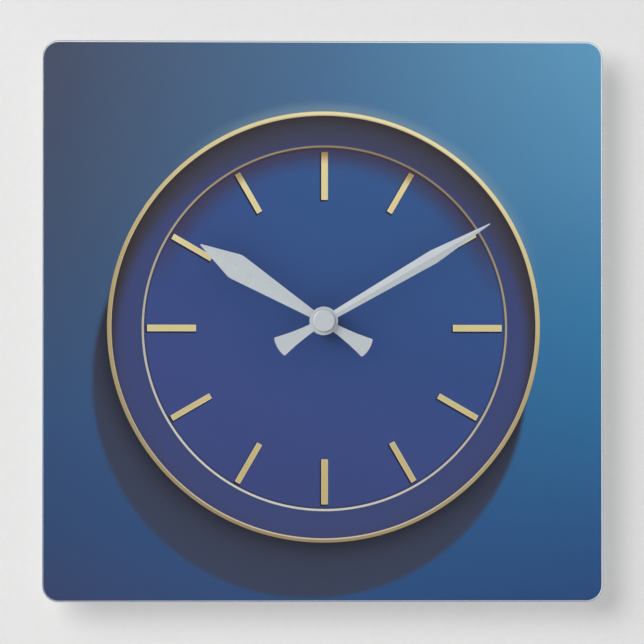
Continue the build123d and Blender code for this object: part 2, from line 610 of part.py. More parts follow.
def third_wheel():
    phase = meshing_phase(CENTRE, SECONDS_PINION, 0.0, THIRD_AXIS, THIRD_WHEEL)
    wheel = gear(THIRD_WHEEL, THIRD_MODULE, WHEEL_ADDENDUM, 7.5, 8.2, THIRD_AXIS, phase)
    wheel = lightened(wheel, THIRD_AXIS, 2.2, 7.2, 7.5, 8.2)
    pinion = gear(THIRD_PINION, CENTRE_MODULE, PINION_ADDENDUM, 8.2, 11.3, THIRD_AXIS)
    return wheel + pinion + rod(ARBOR, 1.6, 13.2, THIRD_AXIS)


def centre_wheel():
    """Turns once an hour and drives the minute arbor through the clutch spring."""
    phase = meshing_phase(THIRD_AXIS, THIRD_PINION, 0.0, CENTRE, CENTRE_WHEEL)
    wheel = gear(CENTRE_WHEEL, CENTRE_MODULE, WHEEL_ADDENDUM, 10.2, 10.9, CENTRE, phase)
    wheel = lightened(wheel, CENTRE, 3.6, 7.6, 10.2, 10.9, windows=6)
    return wheel - rod(MINUTE_TUBE_OUTER + PIVOT_CLEARANCE, 0, CASE_DEPTH)


# ---- Hand works ----------------------------------------------------------------------------------
def clutch_spring():
    """A dished three-armed washer that presses the centre wheel back against the bridge."""
    ring = tube(2.3, MINUTE_TUBE_OUTER, 11.25, 11.5)
    for n in range(3):
        arm = block(2.0, 3.3, -0.5, 0.5, 10.95, 11.5) - block(1.9, 2.9, -1, 1, 10.9, 11.25)
        ring += Rot(0, 0, 120 * n) * arm
    return ring


def minute_arbor():
    """The tube that carries the minute hand, with the cannon pinion at its foot and flats at its tip."""
    pinion = gear(CANNON_PINION, MOTION_MODULE, PINION_ADDENDUM, 11.5, 12.8, CENTRE)
    arbor = pinion + rod(MINUTE_TUBE_OUTER, BRIDGE_BACK + 0.1, CAP_FRONT - 0.9)
    for side in (-1, 1):
        flat = block(-3, 3, ARBOR_FLAT, 3, 28.8, CAP_BACK)
        arbor -= Rot(0, 0, MINUTE_TURN + 90 * (1 - side)) * flat
    return arbor - rod(MINUTE_TUBE_INNER, 0, CAP_FRONT)


def minute_wheel():
    """Takes the cannon pinion's turn down 3 to 1, then 4 to 1 to the hour wheel; the knob drives it too."""
    wheel = gear(
        MINUTE_WHEEL, MOTION_MODULE, WHEEL_ADDENDUM, 11.7, 12.6, MINUTE_WHEEL_AXIS, MINUTE_WHEEL_PHASE
    )
    wheel = lightened(wheel, MINUTE_WHEEL_AXIS, 2.6, 6.0, 11.7, 12.6)
    pinion = gear(MINUTE_PINION, HOUR_MODULE, PINION_ADDENDUM, 12.6, 14.2, MINUTE_WHEEL_AXIS)
    return wheel + pinion + rod(ARBOR, BRIDGE_BACK, 15.0, MINUTE_WHEEL_AXIS)


def hour_wheel():
    phase = meshing_phase(MINUTE_WHEEL_AXIS, MINUTE_PINION, 0.0, CENTRE, HOUR_WHEEL)
    wheel = gear(HOUR_WHEEL, HOUR_MODULE, WHEEL_ADDENDUM, 13.0, 14.0, CENTRE, phase)
    wheel = lightened(wheel, CENTRE, 3.6, 6.6, 13.0, 14.0, windows=6)
    wheel += rod(HOUR_TUBE_OUTER, 13.0, HOUR_HAND_BACK + HAND_SHEET + 0.6)
    return wheel - rod(HOUR_TUBE_INNER, 0, CASE_DEPTH * 2)


def setting_arbor():
    """The knob's shaft and pinion, always in mesh with the minute wheel."""
    phase = meshing_phase(MINUTE_WHEEL_AXIS, MINUTE_WHEEL, MINUTE_WHEEL_PHASE, SETTING_AXIS, SETTING_PINION)
    pinion = gear(SETTING_PINION, MOTION_MODULE, PINION_ADDENDUM, 11.5, 12.8, SETTING_AXIS, phase)
    return pinion + rod(1.0, 2.5, 11.5, SETTING_AXIS) + rod(ARBOR, 12.8, 14.8, SETTING_AXIS)


def setting_knob():
    """A thumb wheel with scalloped grip, sunk in the cover's pocket."""
    knob = rod(KNOB_RADIUS, 0.5, 2.5, SETTING_AXIS)
    knob = fillet(knob.edges().filter_by(GeomType.CIRCLE).group_by(Axis.Z)[0], 0.4)
    for n in range(18):
        knob -= rod(0.45, 0, 3, away(SETTING_AXIS, KNOB_RADIUS + 0.15, n * 20))
    return knob - rod(2.4, 0, 1.0, SETTING_AXIS)


# ---- Hands ---------------------------------------------------------------------------------------
def creased_sheet(slope, half_width, length, back):
    """A long strip folded along its middle, with its ridge at the front and its sides falling back."""
    drop = half_width * tan(radians(slope))
    section = [(0, HAND_SHEET), (half_width, HAND_SHEET - drop), (half_width, -drop), (0, 0),
               (-half_width, -drop), (-half_width, HAND_SHEET - drop)]
    strip = extrude(Plane.XZ * make_face(Polyline(*section, close=True)), amount=-length)
    return Pos(0, 0, back) * strip


def blade_outline(shape):
    """A lance: narrow at the hub, widest at the shoulder, then straight to a fine point."""
    point = 0.25
    right = [(shape["root"], 0), (shape["half_width"], shape["shoulder"]), (point, shape["reach"])]
    left = [(-x, y) for x, y in reversed(right)]
    face = make_face(Polyline(*right, *left, close=True))
    shoulders = face.vertices().filter_by(lambda v: abs(v.Y - shape["shoulder"]) < 0.01)
    return fillet(shoulders, 7.0)


def tail_outline():
    """The counterweight: a wedge that flares away from the hub and ends in an arc."""
    half = radians(TAIL_HALF_ANGLE)
    corner = (TAIL_CORNER_REACH * sin(half), -TAIL_CORNER_REACH * cos(half))
    end = ThreePointArc((-corner[0], corner[1]), (0, -TAIL_REACH), corner)
    waist, waist_y = TAIL_WAIST[0], -TAIL_WAIST[1]
    right = ThreePointArc(corner, (waist, waist_y), (TAIL_ROOT, 0))
    left = ThreePointArc((-TAIL_ROOT, 0), (-waist, waist_y), (-corner[0], corner[1]))
    face = make_face([end, right, Line((TAIL_ROOT, 0), (-TAIL_ROOT, 0)), left])
    corners = face.vertices().filter_by(lambda v: abs(v.Y - corner[1]) < 0.01)
    return fillet(corners, 0.8)


def hand(shape, back, bore, turn):
    """One pressed aluminium hand: a creased blade, a flat round hub and a flat tail."""
    front = back + HAND_SHEET
    blade = Pos(0, 0, back - 2) * extrude(blade_outline(shape), amount=HAND_SHEET + 4)
    blade &= creased_sheet(shape["slope"], shape["half_width"] + 1, shape["reach"] + 1, back)
    tail = Pos(0, 0, back) * extrude(tail_outline(), amount=HAND_SHEET)
    whole = blade - rod(HUB_FLAT, back - 3, front + 3) + tail + rod(HUB_RADIUS, back, front)
    return Rot(0, 0, turn) * (whole - rod(bore, back - 3, front + 3))


def hour_collet():
    """The brass eye pressed on the hour tube, riveted over the hand's hub."""
    collet = tube(3.6, HOUR_TUBE_OUTER, HOUR_HAND_BACK - 0.7, HOUR_HAND_BACK)
    return collet + tube(HOUR_EYE, HOUR_TUBE_OUTER, HOUR_HAND_BACK, HOUR_HAND_BACK + HAND_SHEET + 0.3)


def minute_collet():
    """The oblong-holed eye that keys the minute hand to its arbor's flats."""
    collet = rod(3.0, MINUTE_HAND_BACK - 0.6, MINUTE_HAND_BACK)
    collet += rod(MINUTE_EYE, MINUTE_HAND_BACK, CAP_BACK)
    flats = block(-3, 3, -ARBOR_FLAT, ARBOR_FLAT, 20, 40)
    return collet - Rot(0, 0, MINUTE_TURN) * (rod(MINUTE_TUBE_OUTER, 20, 40) & flats)


def cap_nut():
    """The blind nut on the minute arbor's tip, turned with a soft edge."""
    cap = rod(CAP_RADIUS, CAP_BACK, CAP_FRONT)
    cap = chamfer(cap.edges().filter_by(GeomType.CIRCLE).group_by(Axis.Z)[0], 0.25)
    cap = fillet(cap.edges().filter_by(GeomType.CIRCLE).group_by(Axis.Z)[-1], 0.55)
    return cap - rod(MINUTE_TUBE_OUTER, CAP_BACK - 1, CAP_FRONT - 0.8)


def main():
    os.makedirs("parts", exist_ok=True)
    write("face_plate", face_plate())
    write("printed_artwork", print_layer(ARTWORK_BACK, ARTWORK_INSET))
    write("white_backing", print_layer(BACKING_BACK, BACKING_INSET))
    write("hanger_bracket", hanger_bracket())
    write("rubber_gasket", rubber_gasket())
    write("mounting_washer", mounting_washer())
    write("hex_nut", hex_nut())
    write("threaded_bushing", threaded_bushing())
    write("movement_case", movement_case())
    write("back_cover", back_cover())
    write("train_bridge", train_bridge())
    write("battery_cell", battery_cell())
    write("battery_sleeve", battery_sleeve())
    write("positive_contact", positive_contact())
    write("negative_contact", negative_contact())
    write("circuit_board", circuit_board())
    write("driver_chip", driver_chip())
    write("quartz_crystal", quartz_crystal())
    write("coil_core", coil_core())
    write("coil_bobbin", coil_bobbin())
    write("coil_winding", coil_winding())
    write("coil_leads", coil_leads())
    write("stator", stator())
    write("rotor", rotor())
    write("rotor_magnet", rotor_magnet())
    write("intermediate_wheel", intermediate_wheel())
    write("seconds_wheel", seconds_wheel())
    write("third_wheel", third_wheel())
    write("centre_wheel", centre_wheel())
    write("clutch_spring", clutch_spring())
    write("minute_arbor", minute_arbor())
    write("minute_wheel", minute_wheel())
    write("hour_wheel", hour_wheel())
    write("setting_arbor", setting_arbor())
    write("setting_knob", setting_knob())
    write("hour_hand", hand(HOUR_SHAPE, HOUR_HAND_BACK, HOUR_EYE, HOUR_TURN))
    write("hour_collet", hour_collet())
    write("minute_hand", hand(MINUTE_SHAPE, MINUTE_HAND_BACK, MINUTE_EYE, MINUTE_TURN))
    write("minute_collet", minute_collet())
    write("cap_nut", cap_nut())


main()
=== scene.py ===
from math import copysign, cos, pi, radians, sin

import bmesh
import bpy
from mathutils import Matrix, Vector


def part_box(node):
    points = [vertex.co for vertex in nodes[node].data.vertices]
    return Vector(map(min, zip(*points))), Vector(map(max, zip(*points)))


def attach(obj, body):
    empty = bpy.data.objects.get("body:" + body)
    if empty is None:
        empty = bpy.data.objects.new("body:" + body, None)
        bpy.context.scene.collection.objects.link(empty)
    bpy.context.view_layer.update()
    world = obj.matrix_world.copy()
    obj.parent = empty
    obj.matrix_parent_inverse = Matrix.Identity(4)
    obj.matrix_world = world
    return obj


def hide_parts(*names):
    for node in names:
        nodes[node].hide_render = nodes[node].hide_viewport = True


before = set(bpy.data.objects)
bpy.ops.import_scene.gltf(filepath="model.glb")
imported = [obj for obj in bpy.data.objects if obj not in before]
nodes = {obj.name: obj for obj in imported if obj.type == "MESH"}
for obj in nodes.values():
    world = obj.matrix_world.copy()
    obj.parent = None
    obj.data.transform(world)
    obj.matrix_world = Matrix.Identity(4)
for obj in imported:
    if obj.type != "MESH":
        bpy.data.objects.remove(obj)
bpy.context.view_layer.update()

# Wall clock. Every length is in metres. x runs to the reader's right, z up, and y into the wall, so that
# the dial faces -y. Angles on the dial are in degrees clockwise from twelve.

MM = 0.001
TINY = 0.001 * MM

# ---- Places in the CAD model -------------------------------------------------------------------------
film_low, film_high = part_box("printed_artwork")
FILM_FRONT = film_low.y
FILM_HALF = film_high.x
PLATE_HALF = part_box("face_plate")[1].x
PLATE_CORNER = 8.0 * MM
SHAFT_HOLE = 4.15 * MM          # radius of the hole for the threaded bushing

# ---- The printed picture, with its centres as (x, z) -------------------------------------------------
OUTER_RING = {"centre": (0.4 * MM, -2.7 * MM), "inner": 102.95 * MM, "outer": 105.0 * MM,
              "wider": 1.0045}  # it is drawn this much wider than high
INNER_RING = {"centre": (0.8 * MM, -3.35 * MM), "inner": 88.0 * MM, "outer": 89.05 * MM, "wider": 1.0}
RING_SHADOW = {"centre": (-6.5 * MM, -29.0 * MM), "radius": 105.8 * MM, "blur": 1.6 * MM}
RIM_SHADOW = {"centre": (-1.0 * MM, -15.4 * MM), "none": 97.0 * MM, "full": 104.5 * MM}
DRAWN_LIGHT = 18                # degrees; the side that the picture's light comes from

BATON_CENTRE = (0.8 * MM, -3.3 * MM)
BATON_REACH = {"upright": 85.8 * MM, "other": 86.4 * MM}     # from that centre to a baton's outer end
BATON_LENGTH = {0: 23.3 * MM, 3: 23.8 * MM, 6: 21.9 * MM, 9: 23.8 * MM, "other": 21.8 * MM}
BATON_WIDTH = {"quarter": 3.2 * MM, "other": 2.8 * MM}
BATON_STRAY = 0.7               # degrees at most that those between the quarters stand nearer to upright
BATON_LIFT = {2: 2.1 * MM, 5: 1.2 * MM, 10: 0.9 * MM}        # hours drawn higher, by so much sideways
BATON_BEVEL = 0.3 * MM          # width of the pale edge drawn round each baton
BATON_SHADE_DROP = (-0.35 * MM, -0.5 * MM)
BATON_SHADE_SPREAD = 0.35 * MM

INK = 0.02 * MM                 # thickness of each printed shape
INK_MARGIN = 0.01 * MM          # between the film's front and the foremost ink
TUCK = 0.4 * MM                 # how far a printed area runs in under the ring beside it
INK_SATURATION = 1.02           # these two make up for what the acrylic in front takes away
INK_VALUE = 1.055

# ---- Solids ------------------------------------------------------------------------------------------
EDGE_HAZE = 0.8                 # how far the plate's cut edge hides what is behind it
ACRYLIC_IOR = 1.49
HAND_ROUND = 0.1 * MM           # round on the edges of the pressed hands
FLAT_WITHIN = 1.5               # degrees between facets that make up one flat face
SHARP_FROM = 30                 # degrees from which an edge is rounded


def srgb(red, green, blue):
    """A colour given as 0 to 255 display values, as linear RGBA."""
    def linear(value):
        value /= 255
        return value / 12.92 if value <= 0.04045 else ((value + 0.055) / 1.055) ** 2.4
    return (linear(red), linear(green), linear(blue), 1.0)


# ---- Shader helpers ----------------------------------------------------------------------------------
FIRST_COLOUR, SECOND_COLOUR, MIXED_COLOUR = 6, 7, 2     # the colour sockets of a Mix node


class Paint:
    """A material under construction. Most methods add nodes and return the last one's output."""

    def __init__(self, name):
        self.material = bpy.data.materials.new(name)
        self.material.use_nodes = True
        self.tree = self.material.node_tree
        self.tree.nodes.clear()
        self.output = self.tree.nodes.new("ShaderNodeOutputMaterial")
        self.place = self.tree.nodes.new("ShaderNodeTexCoord").outputs["Object"]
        self.x, _, self.z = self.split(self.place)

    def put(self, socket, value):
        """Links a node's output to a socket, or sets the socket to a plain value."""
        if hasattr(value, "is_output"):
            self.tree.links.new(value, socket)
        else:
            socket.default_value = value

    def split(self, vector):
        """A vector's x, y and z, as three outputs."""
        made = self.tree.nodes.new("ShaderNodeSeparateXYZ")
        self.tree.links.new(vector, made.inputs[0])
        return made.outputs

    def math(self, operation, *values):
        made = self.tree.nodes.new("ShaderNodeMath")
        made.operation = operation
        for socket, value in zip(made.inputs, values):
            self.put(socket, value)
        return made.outputs[0]

    def rise(self, value, low, high, to_low=0.0, to_high=1.0, smooth=True):
        """0 below low and 1 above high, smooth between; other end values may be given."""
        made = self.tree.nodes.new("ShaderNodeMapRange")
        made.interpolation_type = "SMOOTHSTEP" if smooth else "LINEAR"
        made.clamp = True
        for socket, number in zip(made.inputs, (value, low, high, to_low, to_high)):
            self.put(socket, number)
        return made.outputs[0]

    def mix(self, factor, first, second):
        """The first colour where the factor is 0 and the second where it is 1."""
        made = self.tree.nodes.new("ShaderNodeMix")
        made.data_type = "RGBA"
        self.put(made.inputs["Factor"], factor)
        self.put(made.inputs[FIRST_COLOUR], first)
        self.put(made.inputs[SECOND_COLOUR], second)
        return made.outputs[MIXED_COLOUR]

    def adjusted(self, colour, saturation, value):
        """The same hue, with its saturation and value multiplied."""
        made = self.tree.nodes.new("ShaderNodeHueSaturation")
        self.put(made.inputs["Saturation"], saturation)
        self.put(made.inputs["Value"], value)
        self.put(made.inputs["Color"], colour)
        return made.outputs[0]

    def ramp(self, value, low, high, stops):
        """A colour ramp whose stops are (value, colour) pairs between low and high."""
        made = self.tree.nodes.new("ShaderNodeValToRGB")
        self.put(made.inputs[0], self.rise(value, low, high, smooth=False))
        elements = made.color_ramp.elements
        for n, (at, colour) in enumerate(stops):
            element = elements[n] if n < 2 else elements.new(1.0)
            element.position = (at - low) / (high - low)
            element.color = colour
        return made.outputs[0]

    def from_point(self, centre):
        """How far to the right of and above centre, a point (x, z), a place is."""
        return self.math("SUBTRACT", self.x, centre[0]), self.math("SUBTRACT", self.z, centre[1])

    def along(self, centre, toward):
        """How far a place lies from centre in the dial direction toward."""
        across, up = self.from_point(centre)
        return self.math("ADD", self.math("MULTIPLY", across, sin(radians(toward))),
                         self.math("MULTIPLY", up, cos(radians(toward))))

    def distance(self, centre):
        """How far a place lies from centre on the dial's plane, in any direction."""
        across, up = self.from_point(centre)
        squares = self.math("ADD", self.math("MULTIPLY", across, across), self.math("MULTIPLY", up, up))
        return self.math("SQRT", squares)

    def facing(self, centre, toward):
        """Cosine of the dial angle between a place seen from centre and the direction toward."""
        away = self.math("MAXIMUM", self.distance(centre), TINY)
        return self.math("DIVIDE", self.along(centre, toward), away)

    def noise(self, size, detail=3.0, roughness=0.55, stretch=(1, 1, 1)):
        """Fractal noise, about 0 to 1, with features of that size in metres."""
        mapping = self.tree.nodes.new("ShaderNodeMapping")
        self.put(mapping.inputs["Vector"], self.place)
        mapping.inputs["Scale"].default_value = stretch
        made = self.tree.nodes.new("ShaderNodeTexNoise")
        self.put(made.inputs["Vector"], mapping.outputs[0])
        made.inputs["Scale"].default_value = 1 / size
        made.inputs["Detail"].default_value = detail
        made.inputs["Roughness"].default_value = roughness
        return made.outputs["Fac"]

    def spread(self, noise, low=0.0, high=1.0):
        """Noise with its usual range, 0.3 to 0.7, stretched over low to high."""
        return self.rise(noise, 0.3, 0.7, low, high, smooth=False)

    def grain(self, colour, amount, size):
        """The same colour, lighter and darker by a little in fine grain."""
        return self.adjusted(colour, 1.0, self.spread(self.noise(size), 1 - amount, 1 + amount))

    def bump(self, height, strength, depth, edge=0.0):
        """A bumped normal; with an edge radius, sharp edges are shaded as if rounded to it."""
        made = self.tree.nodes.new("ShaderNodeBump")
        if edge:
            rounded = self.tree.nodes.new("ShaderNodeBevel")
            rounded.samples = 4
            rounded.inputs["Radius"].default_value = edge
            self.put(made.inputs["Normal"], rounded.outputs[0])
        made.inputs["Strength"].default_value = strength
        made.inputs["Distance"].default_value = depth
        self.put(made.inputs["Height"], height)
        return made.outputs[0]

    def shader(self, kind, **values):
        """A shader of that kind; names use underscores for the spaces in its sockets' names."""
        made = self.tree.nodes.new("ShaderNodeBsdf" + kind)
        for key, value in values.items():
            self.put(made.inputs[key.replace("_", " ")], value)
        return made.outputs[0]

    def mix_shaders(self, factor, first, second):
        made = self.tree.nodes.new("ShaderNodeMixShader")
        for socket, value in zip(made.inputs, (factor, first, second)):
            self.put(socket, value)
        return made.outputs[0]

    def finished(self, shader):
        """The material, with that shader as its surface."""
        self.tree.links.new(shader, self.output.inputs["Surface"])
        return self.material

    def surface(self, **values):
        """The material, with one Principled shader as its surface."""
        return self.finished(self.shader("Principled", **values))


# ---- Printed inks ------------------------------------------------------------------------------------
def ink(paint, colour):
    """Finishes a printed area: matte ink bonded to the acrylic, with the faint grain of its dots."""
    printed = paint.adjusted(colour, INK_SATURATION, INK_VALUE)
    return paint.surface(Base_Color=paint.grain(printed, 0.035, 0.5 * MM), Roughness=0.6,
                         Specular_IOR_Level=0.0)


def field_ink():
    """Slate at the left, turquoise at the upper right and deep blue below, round the outer ring."""
    paint = Paint("field_ink")
    bottom, top = -FILM_HALF, FILM_HALF
    left = paint.ramp(paint.z, bottom, top, [
        (bottom, srgb(57, 68, 105)), (-100 * MM, srgb(51, 73, 112)), (-45 * MM, srgb(55, 80, 119)),
        (0, srgb(61, 81, 114)), (60 * MM, srgb(67, 80, 105)), (top, srgb(72, 77, 98))])
    middle = paint.ramp(paint.z, bottom, top, [
        (bottom, srgb(48, 79, 124)), (-100 * MM, srgb(49, 86, 133)), (0, srgb(60, 100, 142)),
        (70 * MM, srgb(73, 108, 146)), (top, srgb(78, 112, 147))])
    right = paint.ramp(paint.z, bottom, top, [
        (bottom, srgb(44, 75, 123)), (-100 * MM, srgb(48, 87, 134)), (-40 * MM, srgb(51, 109, 153)),
        (0, srgb(58, 120, 163)), (30 * MM, srgb(68, 126, 167)), (70 * MM, srgb(84, 139, 177)),
        (top, srgb(98, 155, 190))])
    colour = paint.mix(paint.rise(paint.x, -FILM_HALF, 0, smooth=False), left, middle)
    colour = paint.mix(paint.rise(paint.x, 0, FILM_HALF, smooth=False), colour, right)
    beyond = paint.math("SUBTRACT", paint.distance(OUTER_RING["centre"]), OUTER_RING["outer"])
    colour = with_ring_glow(paint, colour, beyond)
    colour = with_ring_shadow(paint, colour, beyond)
    return ink(paint, with_ring_outline(paint, colour, beyond))


def with_ring_glow(paint, colour, beyond):
    """Light that the outer ring seems to throw on the field at its upper right."""
    glow_reach, glow_angle = 6.5 * MM, 20
    glow = paint.mix(0.5, srgb(128, 152, 164), colour)
    side = paint.rise(paint.facing(OUTER_RING["centre"], glow_angle), 0.40, 0.97)
    near = paint.rise(beyond, 0, glow_reach, 1.0, 0.0)
    return paint.mix(paint.math("MULTIPLY", side, near), colour, glow)


def with_ring_shadow(paint, colour, beyond):
    """The outer ring's shadow, a circle that lies low and to the left, darkest against the ring."""
    shade_reach = 22 * MM
    shade = paint.ramp(beyond, 0, shade_reach, [
        (0, srgb(40, 38, 44)), (2 * MM, srgb(42, 44, 61)), (5 * MM, srgb(50, 53, 69)),
        (10 * MM, srgb(56, 62, 81)), (shade_reach, srgb(58, 65, 87))])
    radius, blur = RING_SHADOW["radius"], RING_SHADOW["blur"]
    inside = paint.rise(paint.distance(RING_SHADOW["centre"]), radius - blur, radius + blur, 1.0, 0.0)
    return paint.mix(inside, colour, shade)


def with_ring_outline(paint, colour, beyond):
    """A thin dark line against the outer ring, everywhere but on its lit side."""
    line_width, lit_angle = 0.9 * MM, 15
    line = paint.rise(beyond, 0, line_width, 0.35, 0.0)
    unlit = paint.rise(paint.facing(OUTER_RING["centre"], lit_angle), -0.2, 0.6, 1.0, 0.0)
    return paint.mix(paint.math("MULTIPLY", line, unlit), colour, srgb(30, 26, 30))


def flange_ink():
    """The ring of recess between the two gold rings, in its rim's drawn shadow at the top."""
    paint = Paint("flange_ink")
    radius = paint.distance(INNER_RING["centre"])
    near, far = 89 * MM, 104 * MM
    lit = paint.ramp(radius, near, far, [
        (near, srgb(62, 71, 114)), (96 * MM, srgb(63, 72, 117)), (101 * MM, srgb(63, 70, 111)),
        (far, srgb(62, 64, 98))])
    dark = paint.ramp(radius, near, far, [
        (near, srgb(65, 67, 94)), (96 * MM, srgb(63, 64, 84)), (100 * MM, srgb(59, 57, 68)),
        (far, srgb(52, 43, 46))])
    shaded = paint.rise(paint.distance(RIM_SHADOW["centre"]), RIM_SHADOW["none"], RIM_SHADOW["full"])
    return ink(paint, paint.mix(shaded, lit, dark))


def dial_ink():
    """The blue dial, brightest to the upper right, with a shadow under its top edge and painted shade at
    the axis.
    """
    paint = Paint("dial_ink")
    low, high = -90 * MM, 85 * MM
    shade_angle = 2
    colour = paint.ramp(paint.along((0, 0), DRAWN_LIGHT), low, high, [
        (low, srgb(61, 71, 121)), (-45 * MM, srgb(61, 76, 130)), (-5 * MM, srgb(55, 78, 131)),
        (35 * MM, srgb(55, 84, 136)), (high, srgb(57, 89, 139))])
    leftward = paint.rise(paint.x, -88 * MM, 0, 0.55, 0.0)
    colour = paint.mix(leftward, colour, srgb(64, 74, 128))
    radius = paint.distance(INNER_RING["centre"])
    rim = paint.rise(radius, 75 * MM, 88 * MM)
    upper = paint.rise(paint.facing(INNER_RING["centre"], shade_angle), 0.12, 0.62)
    colour = paint.mix(paint.math("MULTIPLY", rim, upper), colour, srgb(64, 60, 85))
    line = paint.rise(radius, INNER_RING["inner"] - 1.3 * MM, INNER_RING["inner"] - 0.3 * MM, 0.0, 0.55)
    colour = paint.mix(line, colour, srgb(48, 40, 48))
    # painted shade round the axis, standing in for the shadow of the hands and cap nut
    hub_shade = paint.rise(paint.distance((0, 0)), 6 * MM, 17 * MM, 0.12, 0.0)
    return ink(paint, paint.mix(hub_shade, colour, srgb(40, 60, 104)))


def ring_ink(name, ring, flat_stops, edge_top, edge_bottom, edge_width):
    """Printed metal. Its flat follows the stops from the lower left to the upper right, and its inner
    edge has its own two colours."""
    paint = Paint(name)
    up = paint.facing(ring["centre"], DRAWN_LIGHT)
    flat = paint.ramp(up, -1, 1, flat_stops)
    edge = paint.mix(paint.rise(up, -0.9, 0.9), edge_bottom, edge_top)
    across = paint.rise(paint.distance(ring["centre"]), ring["inner"] + 0.6 * edge_width,
                        ring["inner"] + 1.2 * edge_width)
    return ink(paint, paint.mix(across, edge, flat))


def outer_ring_ink():
    """Pale gold at the upper right, where the light strikes it, and bronze at the lower left."""
    flat_stops = [(-1, srgb(153, 137, 102)), (-0.5, srgb(170, 153, 113)), (0, srgb(182, 163, 117)),
                  (0.5, srgb(208, 193, 142)), (1, srgb(235, 222, 173))]
    return ring_ink("outer_ring_ink", OUTER_RING, flat_stops, edge_top=srgb(205, 190, 145),
                    edge_bottom=srgb(214, 197, 172), edge_width=0.7 * MM)


def inner_ring_ink():
    """Silver at the lower left, and bronze at the upper right, in the rim's shadow."""
    flat_stops = [(-1, srgb(205, 203, 192)), (0, srgb(178, 167, 144)), (1, srgb(148, 128, 98))]
    return ring_ink("inner_ring_ink", INNER_RING, flat_stops, edge_top=srgb(118, 98, 80),
                    edge_bottom=srgb(206, 205, 198), edge_width=0.2 * MM)


def baton_ink(name, paleness):
    """Printed gold, paler toward the top, with the upper batons' outer ends in the rim's shadow."""
    paint = Paint(name)
    low, high = -90 * MM, 84 * MM
    colour = paint.ramp(paint.z, low, high, [
        (low, srgb(194, 174, 120)), (-5 * MM, srgb(213, 198, 140)), (45 * MM, srgb(222, 207, 150)),
        (high, srgb(228, 213, 156))])
    colour = paint.mix(paleness, colour, srgb(224, 220, 212))
    end = paint.rise(paint.distance(BATON_CENTRE), 79 * MM, 86 * MM)
    upper = paint.rise(paint.facing(BATON_CENTRE, 0), 0.6, 0.95)
    return ink(paint, paint.mix(paint.math("MULTIPLY", end, upper), colour, srgb(158, 128, 84)))


def baton_shade_ink():
    """The dark line that each baton seems to throw on the dial."""
    paint = Paint("baton_shade_ink")
    return ink(paint, paint.mix(paint.noise(3 * MM), srgb(34, 32, 50), srgb(42, 38, 56)))


# ---- Solids and fittings -----------------------------------------------------------------------------
def clear_acrylic():
    """Cast acrylic with polished faces and a satin-cut edge. Lamps reach the print through it."""
    paint = Paint("clear_acrylic")
    satin = paint.shader("Principled", Base_Color=paint.grain(srgb(216, 226, 238), 0.05, 3 * MM),
                         Roughness=0.35)
    glass = paint.shader("Glass", Color=(0.995, 0.998, 1.0, 1.0), Roughness=0.0, IOR=ACRYLIC_IOR)
    clear = paint.shader("Transparent", Color=(0.985, 0.99, 0.995, 1.0))
    normal = paint.split(paint.tree.nodes.new("ShaderNodeNewGeometry").outputs["Normal"])
    edge = paint.rise(paint.math("ABSOLUTE", normal["Y"]), 0.75, 0.65, 0.0, EDGE_HAZE)
    rays = paint.tree.nodes.new("ShaderNodeLightPath").outputs
    lighting = paint.math("MAXIMUM", rays["Is Shadow Ray"], rays["Is Diffuse Ray"])
    return paint.finished(paint.mix_shaders(lighting, paint.mix_shaders(edge, glass, satin), clear))


def metal(name, colour, roughness, brush=(1, 1, 1), bump=0.0, variation=0.06, metallic=1.0, edge=0.0):
    """Metal with faint uneven tone and fine lines, which run along the axes where brush is smallest."""
    paint = Paint(name)
    lines = paint.noise(1.2 * MM, detail=4, stretch=brush)
    tone = paint.grain(colour, variation, 4 * MM)
    dull = paint.adjusted(tone, 1.0, 0.75)
    tone = paint.mix(paint.rise(lines, 0.35, 0.7, 0.0, 0.16), tone, dull)
    rough = paint.spread(lines, roughness - 0.06, roughness + 0.08)
    return paint.surface(Base_Color=tone, Metallic=metallic, Roughness=rough,
                         Normal=paint.bump(lines, bump, 0.03 * MM, edge))


def plastic(name, colour, roughness, bump=0.25, variation=0.08, edge=0.0):
    """Moulded plastic: a fine spark-eroded texture and slight flow marks."""
    paint = Paint(name)
    texture = paint.noise(0.35 * MM, detail=2)
    tone = paint.grain(colour, variation, 9 * MM)
    rough = paint.spread(paint.noise(2.5 * MM), roughness - 0.07, roughness + 0.07)
    return paint.surface(Base_Color=tone, Roughness=rough,
                         Normal=paint.bump(texture, bump, 0.05 * MM, edge))


def wrapped_sleeve():
    """A battery's shrink sleeve: two plain bands with a thin stripe near where they meet."""
    paint = Paint("battery_sleeve")
    low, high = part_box("battery_sleeve")
    silver, green = srgb(196, 199, 203), srgb(32, 92, 84)
    share = paint.rise(paint.x, low.x, high.x, smooth=False)
    colour = paint.mix(paint.rise(share, 0.245, 0.25), silver, green)
    stripe = paint.math("MULTIPLY", paint.rise(share, 0.275, 0.278),
                        paint.rise(share, 0.292, 0.295, 1.0, 0.0))
    colour = paint.mix(stripe, colour, silver)
    rough = paint.spread(paint.noise(5 * MM), 0.22, 0.34)
    return paint.surface(Base_Color=paint.grain(colour, 0.04, 6 * MM), Roughness=rough, Metallic=0.25,
                         Coat_Weight=0.4, Coat_Roughness=0.12)


def winding_copper():
    """Enamelled wire, laid in fine turns along the coil, with painted shade between the turns and a
    painted highlight on each.
    """
    paint = Paint("winding_copper")
    wire = 0.28 * MM
    wave = paint.math("SINE", paint.math("MULTIPLY", paint.z, 2 * pi / wire))
    # painted shade in the grooves between turns and painted highlight on their crowns; the same wave also
    # bumps them
    colour = paint.mix(paint.rise(wave, -1, 1), srgb(120, 52, 22), srgb(205, 110, 55))
    return paint.surface(Base_Color=colour, Metallic=0.8, Roughness=0.32,
                         Normal=paint.bump(wave, 0.5, 0.05 * MM))


